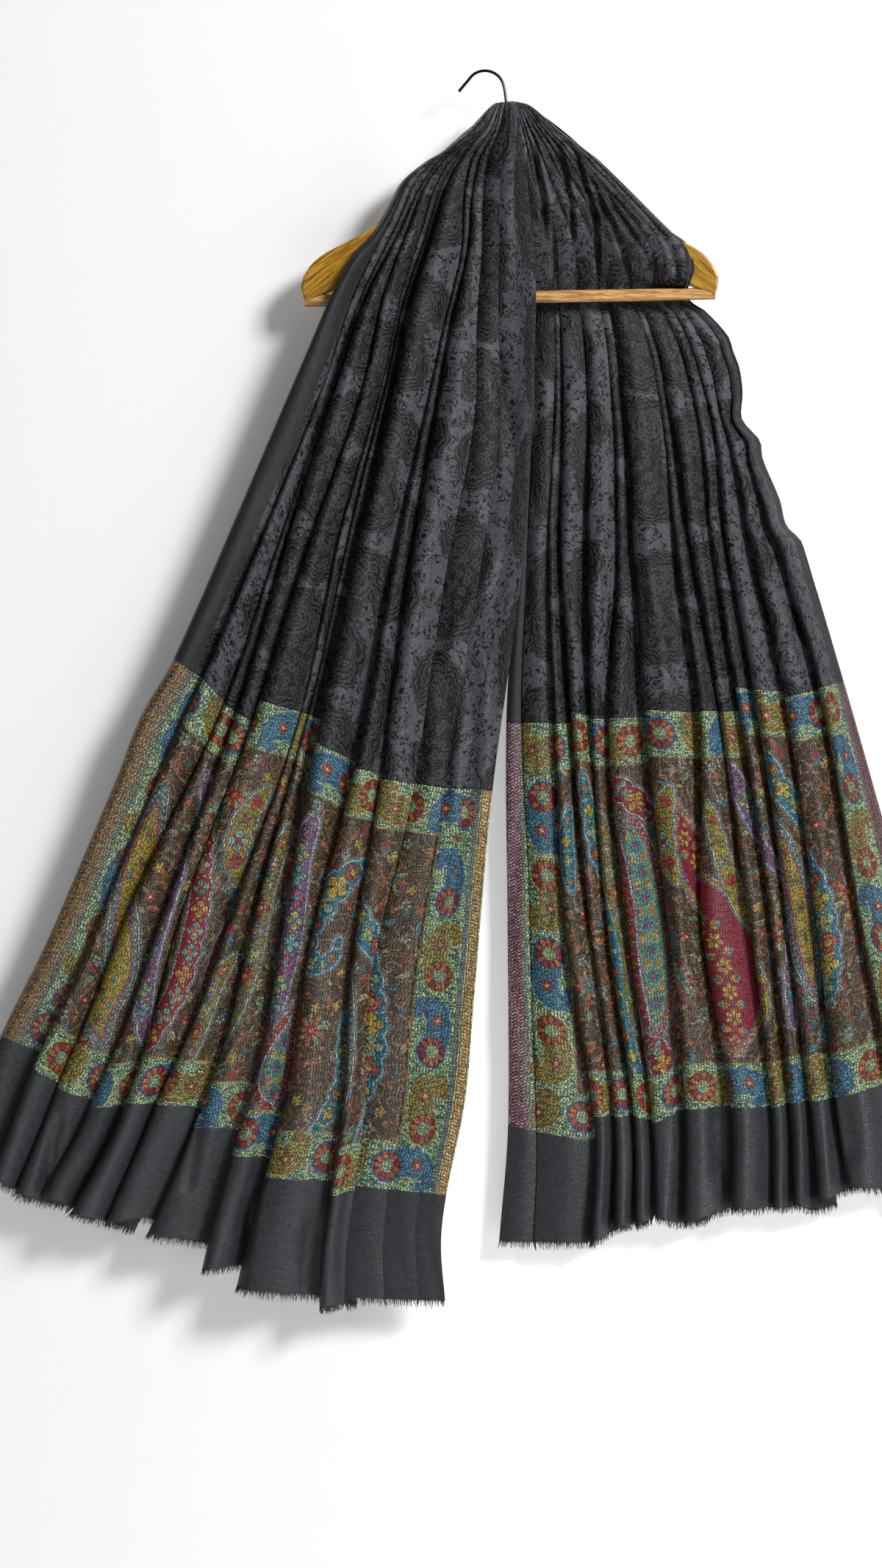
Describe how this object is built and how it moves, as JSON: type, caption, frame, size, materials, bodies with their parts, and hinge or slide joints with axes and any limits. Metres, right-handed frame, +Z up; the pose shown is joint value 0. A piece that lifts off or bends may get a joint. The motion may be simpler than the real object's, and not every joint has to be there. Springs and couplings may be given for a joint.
{
  "type": "shawl on a hanger",
  "caption": "Long patterned shawl hung by its gathered middle on a wooden clothes hanger, with pleated halves, woven borders and frayed ends.",
  "frame": {"origin": "inside top of the hanger's hook, where a rail or peg carries it", "axes": "+Z up, +X to the right seen from the front, +Y away from the front"},
  "size_m": [0.9997, 0.0525, 1.183],
  "materials": {
    "hook_steel": "dark bright wire",
    "oak": "clear satin varnish over open grain",
    "bar_wood": "worn satin varnish",
    "field_cloth": "tone-on-tone jacquard with a satin sheen",
    "border_cloth": "multicoloured woven border with raised threads",
    "end_cloth": "plain fine twill",
    "fringe_yarn": "short frayed yarn"
  },
  "bodies": {
    "root": {"hook": "hook_steel", "hanger_arm_left": "oak", "hanger_arm_right": "oak", "hanger_bar": "bar_wood", "shawl_crown": "field_cloth", "left_field": "field_cloth", "left_panel": "border_cloth", "left_end": "end_cloth", "left_fringe": "fringe_yarn", "right_yoke": "field_cloth", "right_field": "field_cloth", "right_panel": "border_cloth", "right_end": "end_cloth", "right_fringe": "fringe_yarn"}
  },
  "joints": []
}
